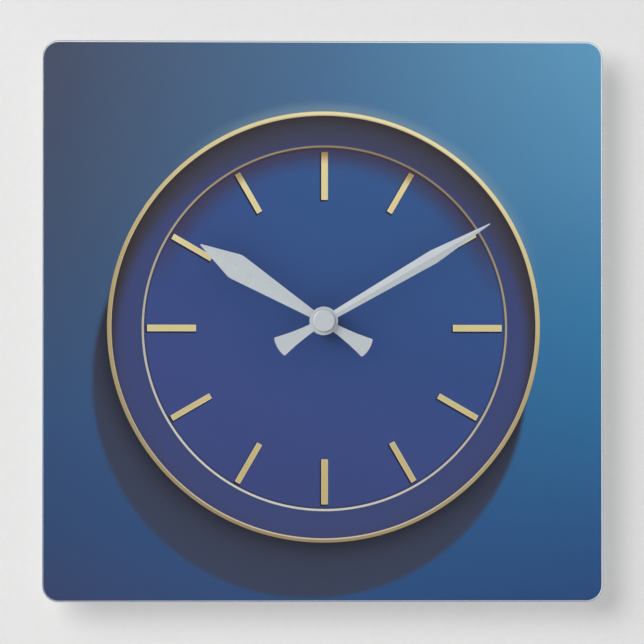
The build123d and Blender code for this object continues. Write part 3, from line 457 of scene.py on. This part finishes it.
def white_backing_ink():
    """The matte white flood coat on the plate's back, with the faint streaks of its rollers."""
    paint = Paint("white_backing")
    streak = paint.spread(paint.noise(6 * MM, detail=4, stretch=(1, 1, 0.12)))
    colour = paint.mix(streak, srgb(230, 230, 228), srgb(236, 236, 234))
    return paint.surface(Base_Color=colour, Roughness=0.62,
                         Normal=paint.bump(paint.noise(0.8 * MM), 0.12, 0.05 * MM))


def painted_wall():
    """Rolled wall paint. It shows only from the room's side, so that the clock's back can be seen."""
    paint = Paint("painted_wall")
    painted = paint.shader("Principled", Base_Color=paint.grain(srgb(229, 229, 229), 0.012, 3 * MM),
                           Roughness=0.9, Specular_IOR_Level=0.1,
                           Normal=paint.bump(paint.noise(2 * MM, detail=5), 0.10, 0.2 * MM))
    behind = paint.tree.nodes.new("ShaderNodeNewGeometry").outputs["Backfacing"]
    return paint.finished(paint.mix_shaders(behind, painted, paint.shader("Transparent")))


def pale_floor():
    """A plain pale floor, a little uneven in tone."""
    paint = Paint("pale_floor")
    return paint.surface(Base_Color=paint.grain(srgb(226, 226, 224), 0.02, 50 * MM), Roughness=0.7)


# ---- Meshes ------------------------------------------------------------------------------------------
def placed(name, data):
    """A new object in the scene."""
    made = bpy.data.objects.new(name, data)
    bpy.context.scene.collection.objects.link(made)
    return made


def piece(name, mesh, material, body):
    """An object of the clock, which rides on a body and takes the material given."""
    made = placed(name, mesh)
    mesh.materials.append(material)
    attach(made, body)
    return made


def mesh_from(shape, name):
    """A new mesh of a bmesh's shape, which is freed."""
    mesh = bpy.data.meshes.new(name)
    shape.to_mesh(mesh)
    shape.free()
    return mesh


def flat_mesh(name, loops, front):
    """A flat closed sheet facing -y, as thick as the ink. loops are closed outlines of (x, z); each
    further one is a hole in the first."""
    shape = bmesh.new()
    for loop in loops:
        corners = [shape.verts.new((x, front, z)) for x, z in loop]
        for a, b in zip(corners, corners[1:] + corners[:1]):
            shape.edges.new((a, b))
    bmesh.ops.triangle_fill(shape, edges=shape.edges[:], use_beauty=True, normal=(0, -1, 0))
    bmesh.ops.recalc_face_normals(shape, faces=shape.faces[:])
    if sum(face.normal.y for face in shape.faces) > 0:
        bmesh.ops.reverse_faces(shape, faces=shape.faces[:])
    walls = bmesh.ops.extrude_face_region(shape, geom=shape.faces[:])
    moved = [part for part in walls["geom"] if isinstance(part, bmesh.types.BMVert)]
    bmesh.ops.translate(shape, verts=moved, vec=(0, INK, 0))
    bmesh.ops.recalc_face_normals(shape, faces=shape.faces[:])
    return mesh_from(shape, name)


def circle(centre, radius, wider=1.0, steps=240):
    """A circle's points, or a slight ellipse's where it is wider than it is high."""
    turns = [2 * pi * n / steps for n in range(steps)]
    return [(centre[0] + radius * wider * cos(turn), centre[1] + radius * sin(turn)) for turn in turns]


def rounded_square(half, corner, steps=16):
    """A square's points, anticlockwise, with each corner a quarter of a circle."""
    points = []
    inset = half - corner
    middles = ((inset, inset), (-inset, inset), (-inset, -inset), (inset, -inset))
    for quarter, (x, z) in enumerate(middles):
        for n in range(steps + 1):
            angle = (quarter + n / steps) * pi / 2
            points.append((x + corner * cos(angle), z + corner * sin(angle)))
    return points


def ring_mesh(name, ring, front):
    """A printed ring as thick as the ink: a closed band of quads round four circles."""
    shape = bmesh.new()
    back = front + INK
    inner = circle(ring["centre"], ring["inner"], ring["wider"])
    outer = circle(ring["centre"], ring["outer"], ring["wider"])
    rings = [[shape.verts.new((x, y, z)) for x, z in outline]
             for outline, y in ((inner, front), (outer, front), (outer, back), (inner, back))]
    steps = len(inner)
    for here, there in zip(rings, rings[1:] + rings[:1]):
        for n in range(steps):
            m = (n + 1) % steps
            shape.faces.new((here[n], here[m], there[m], there[n]))
    bmesh.ops.recalc_face_normals(shape, faces=shape.faces[:])
    return mesh_from(shape, name)


def baton_corners(hour, spread, shift):
    """The four corners of an hour baton, spread outward all round and shifted."""
    angle = radians(hour * 30)
    place = angle - radians(BATON_STRAY) * sin(2 * angle)
    length = BATON_LENGTH.get(hour, BATON_LENGTH["other"])
    width = BATON_WIDTH["quarter" if hour % 3 == 0 else "other"]
    reach = BATON_REACH["upright" if hour % 6 == 0 else "other"]
    outward, sideways = Vector((sin(angle), cos(angle))), Vector((cos(angle), -sin(angle)))
    middle = Vector(BATON_CENTRE) + Vector((sin(place), cos(place))) * (reach - length / 2)
    middle += Vector(shift) - sideways * copysign(BATON_LIFT.get(hour, 0.0), sin(angle))
    along, side = outward * (length / 2 + spread), sideways * (width / 2 + spread)
    return [tuple(p) for p in (middle - along - side, middle - along + side, middle + along + side,
                               middle + along - side)]


def twelve_batons(name, front, spread=0.0, shift=(0, 0)):
    """All the hour batons as one mesh."""
    shape = bmesh.new()
    for hour in range(12):
        baton = flat_mesh("baton", [baton_corners(hour, spread, shift)], front)
        shape.from_mesh(baton)
        bpy.data.meshes.remove(baton)
    return mesh_from(shape, name)


# ---- Pieces ------------------------------------------------------------------------------------------
def printed_areas(front):
    """The field, the flange and the dial, side by side in one layer, each with its ink."""
    outer_centre, inner_centre = OUTER_RING["centre"], INNER_RING["centre"]
    film_corner = PLATE_CORNER - (PLATE_HALF - FILM_HALF)
    field = [rounded_square(FILM_HALF, film_corner), circle(outer_centre, OUTER_RING["outer"] - TUCK)]
    flange = [circle(outer_centre, OUTER_RING["inner"] + TUCK),
              circle(inner_centre, INNER_RING["outer"] - TUCK)]
    dial = [circle(inner_centre, INNER_RING["inner"] + TUCK), circle((0, 0), SHAFT_HOLE, steps=48)]
    return [(flat_mesh("print_field", field, front), field_ink()),
            (flat_mesh("print_flange", flange, front), flange_ink()),
            (flat_mesh("print_dial", dial, front), dial_ink())]


def printed_batons(face_front, bevel_front, shade_front):
    """The batons' shades, paler bevels and faces, from back to front, each with its ink."""
    shades = twelve_batons("print_baton_shades", shade_front, BATON_SHADE_SPREAD, BATON_SHADE_DROP)
    bevels = twelve_batons("print_baton_bevels", bevel_front)
    faces = twelve_batons("print_baton_faces", face_front, -BATON_BEVEL)
    return [(shades, baton_shade_ink()), (bevels, baton_ink("baton_bevel_ink", 0.45)),
            (faces, baton_ink("baton_face_ink", 0.0))]


def printed_picture():
    """The picture, as flat inked shapes stacked in four layers inside the film's thickness."""
    front, second, third, back = (FILM_FRONT + INK_MARGIN + INK * n for n in range(4))
    shapes = printed_areas(back) + printed_batons(front, second, third)
    shapes.append((ring_mesh("print_outer_ring", OUTER_RING, front), outer_ring_ink()))
    shapes.append((ring_mesh("print_inner_ring", INNER_RING, front), inner_ring_ink()))
    for mesh, material in shapes:
        made = piece(mesh.name, mesh, material, "clock")
        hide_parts("printed_artwork")


def dress(material, *names):
    """Gives CAD nodes their final material."""
    for name in names:
        mesh = nodes[name].data
        mesh.materials.clear()
        mesh.materials.append(material)


def plate_and_fixings():
    """Finishes on the plate, its backing, the hanger and what clamps them together."""
    dress(clear_acrylic(), "face_plate")
    dress(white_backing_ink(), "white_backing")
    dress(metal("zinc_plate", srgb(196, 199, 202), 0.34, brush=(0.15, 1, 1), bump=0.15, edge=0.2 * MM),
          "hanger_bracket")
    dress(plastic("black_rubber", srgb(30, 30, 31), 0.8, bump=0.5), "rubber_gasket")
    dress(metal("turned_brass", srgb(214, 178, 106), 0.25, brush=(1, 6, 1), bump=0.12),
          "mounting_washer", "hex_nut", "threaded_bushing", "minute_arbor", "hour_collet",
          "minute_collet")


def movement():
    """Finishes on the case and everything inside it."""
    dress(plastic("black_case", srgb(36, 37, 39), 0.48, edge=0.3 * MM), "movement_case", "back_cover")
    dress(plastic("grey_plastic", srgb(150, 152, 154), 0.45, edge=0.15 * MM),
          "setting_knob", "train_bridge")
    dress(plastic("acetal", srgb(238, 236, 228), 0.32, bump=0.08, variation=0.03),
          "rotor", "intermediate_wheel", "seconds_wheel", "third_wheel", "centre_wheel", "minute_wheel",
          "hour_wheel", "setting_arbor", "coil_bobbin")
    dress(metal("nickel", srgb(205, 203, 198), 0.2, bump=0.05), "battery_cell", "quartz_crystal")
    dress(wrapped_sleeve(), "battery_sleeve")
    dress(metal("contact_strip", srgb(208, 202, 184), 0.28, brush=(1, 1, 0.15), bump=0.1),
          "positive_contact", "negative_contact", "clutch_spring")
    dress(plastic("phenolic_board", srgb(150, 118, 66), 0.5, bump=0.15), "circuit_board")
    dress(plastic("black_resin", srgb(22, 22, 24), 0.22, bump=0.05), "driver_chip")
    dress(metal("soft_iron", srgb(160, 160, 160), 0.4, brush=(1, 1, 0.2), bump=0.15),
          "coil_core", "stator")
    dress(winding_copper(), "coil_winding", "coil_leads")
    dress(metal("magnet", srgb(66, 66, 70), 0.45, bump=0.3), "rotor_magnet")


def softened(hand, material):
    """A copy of a hand with its flat faces joined and its sharp edges rounded, in the CAD hand's place."""
    mesh = nodes[hand].data.copy()
    mesh.name = hand + "_soft"
    shape = bmesh.new()
    shape.from_mesh(mesh)
    bmesh.ops.remove_doubles(shape, verts=shape.verts[:], dist=TINY)
    bmesh.ops.dissolve_limit(shape, angle_limit=radians(FLAT_WITHIN), verts=shape.verts[:],
                             edges=shape.edges[:])
    shape.to_mesh(mesh)
    shape.free()
    mesh.materials.clear()
    made = piece(mesh.name, mesh, material, hand)
    bevel = made.modifiers.new("round", "BEVEL")
    bevel.width = HAND_ROUND
    bevel.segments = 2
    bevel.limit_method = "ANGLE"
    bevel.angle_limit = radians(SHARP_FROM)
    bevel.harden_normals = True
    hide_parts(hand)
    return made


def hands():
    """The two pressed hands and the cap nut that holds them."""
    satin = metal("satin_silver", srgb(200, 207, 212), 0.5, bump=0.06, variation=0.025, metallic=0.5)
    for hand in ("hour_hand", "minute_hand"):
        made = softened(hand, satin)
        made.visible_shadow = False     # the light is too even for hands this thin to shade the print
    dress(satin, "cap_nut")


# ---- Stage, lights and camera ------------------------------------------------------------------------
WALL_GAP = 0.3 * MM
FLOOR_DROP = 1.45
STAGE_HALF = 9.0
KEY = {"place": (-2.0, -2.65, 1.3), "size": 2.7, "watts": 77, "colour": (1.0, 0.99, 0.975)}
BACK_FILL = {"place": (1.2, 1.8, 0.9), "size": 1.6, "watts": 18, "colour": (0.97, 0.985, 1.0)}
SURROUNDINGS = (0.655, 0.66, 0.67, 1)
DARK_SPACE = (0.12, 0.125, 0.13, 1)
DARK_UNTIL, PALE_FROM = -0.985, -0.80       # y of the directions where the dark space fades out
CAMERA_DISTANCE = 3.0
CAMERA_AZIMUTH = -2.35          # degrees, so the camera stands a little to the left of square on
CAMERA_ELEVATION = -1.3         # degrees, and a little below the clock's centre
CAMERA_LENS = 344.2             # millimetres, as is the sensor's width
CAMERA_SENSOR = 36
AIM = Vector((-0.4 * MM, FILM_FRONT, -0.3 * MM))


def backdrop(name, corners, material):
    """A flat four-cornered sheet of the studio."""
    mesh = bpy.data.meshes.new(name)
    mesh.from_pydata(corners, [], [(0, 1, 2, 3)])
    mesh.materials.append(material)
    return placed(name, mesh)


def stage():
    """A wall just behind the clock, which only the camera sees, and a floor below it."""
    left, right, front, floor_z = -STAGE_HALF, STAGE_HALF, -STAGE_HALF, -FLOOR_DROP
    wall = backdrop("wall", [(left, WALL_GAP, floor_z), (right, WALL_GAP, floor_z),
                             (right, WALL_GAP, STAGE_HALF), (left, WALL_GAP, STAGE_HALF)], painted_wall())
    wall.visible_shadow = wall.visible_diffuse = wall.visible_glossy = wall.visible_transmission = False
    floor = backdrop("floor", [(left, front, floor_z), (right, front, floor_z),
                               (right, STAGE_HALF, floor_z), (left, STAGE_HALF, floor_z)], pale_floor())


def turned(made, direction):
    """Turns a lamp or a camera to look along a direction."""
    made.rotation_mode = "QUATERNION"
    made.rotation_quaternion = direction.to_track_quat("-Z", "Y")


def lamp(name, place, size, watts, colour):
    """A round soft lamp, aimed at the hands' axis."""
    data = bpy.data.lights.new(name, "AREA")
    data.shape = "DISK"
    data.size = size
    data.energy = watts
    data.color = colour
    made = placed(name, data)
    made.location = place
    turned(made, -Vector(place))
    made.visible_camera = False


def surroundings():
    """Even pale surroundings, with a dark space in front of the dial for the acrylic to reflect."""
    world = bpy.data.worlds.new("studio")
    bpy.context.scene.world = world
    world.use_nodes = True
    tree = world.node_tree
    tree.nodes.clear()
    new, link = tree.nodes.new, tree.links.new
    direction = new("ShaderNodeSeparateXYZ")
    link(new("ShaderNodeTexCoord").outputs["Generated"], direction.inputs[0])
    pale = new("ShaderNodeMapRange")
    pale.interpolation_type = "SMOOTHSTEP"
    link(direction.outputs["Y"], pale.inputs["Value"])
    pale.inputs["From Min"].default_value = DARK_UNTIL
    pale.inputs["From Max"].default_value = PALE_FROM
    colour = new("ShaderNodeMix")
    colour.data_type = "RGBA"
    link(pale.outputs[0], colour.inputs["Factor"])
    colour.inputs[FIRST_COLOUR].default_value = DARK_SPACE
    colour.inputs[SECOND_COLOUR].default_value = SURROUNDINGS
    background = new("ShaderNodeBackground")
    link(colour.outputs[MIXED_COLOUR], background.inputs["Color"])
    link(background.outputs[0], new("ShaderNodeOutputWorld").inputs["Surface"])


def camera():
    """A long lens, nearly square on to the dial."""
    data = bpy.data.cameras.new("camera")
    data.lens = CAMERA_LENS
    data.sensor_width = CAMERA_SENSOR
    data.clip_start = 0.05
    data.clip_end = 60
    made = placed("camera", data)
    turn, rise = radians(CAMERA_AZIMUTH), radians(CAMERA_ELEVATION)
    back = Vector((sin(turn) * cos(rise), -cos(turn) * cos(rise), sin(rise)))
    made.location = AIM + back * CAMERA_DISTANCE
    turned(made, -back)
    bpy.context.scene.camera = made
    bpy.context.scene.view_settings.view_transform = "Standard"


printed_picture()
plate_and_fixings()
movement()
hands()
stage()
lamp("key", **KEY)
lamp("back_fill", **BACK_FILL)
surroundings()
camera()
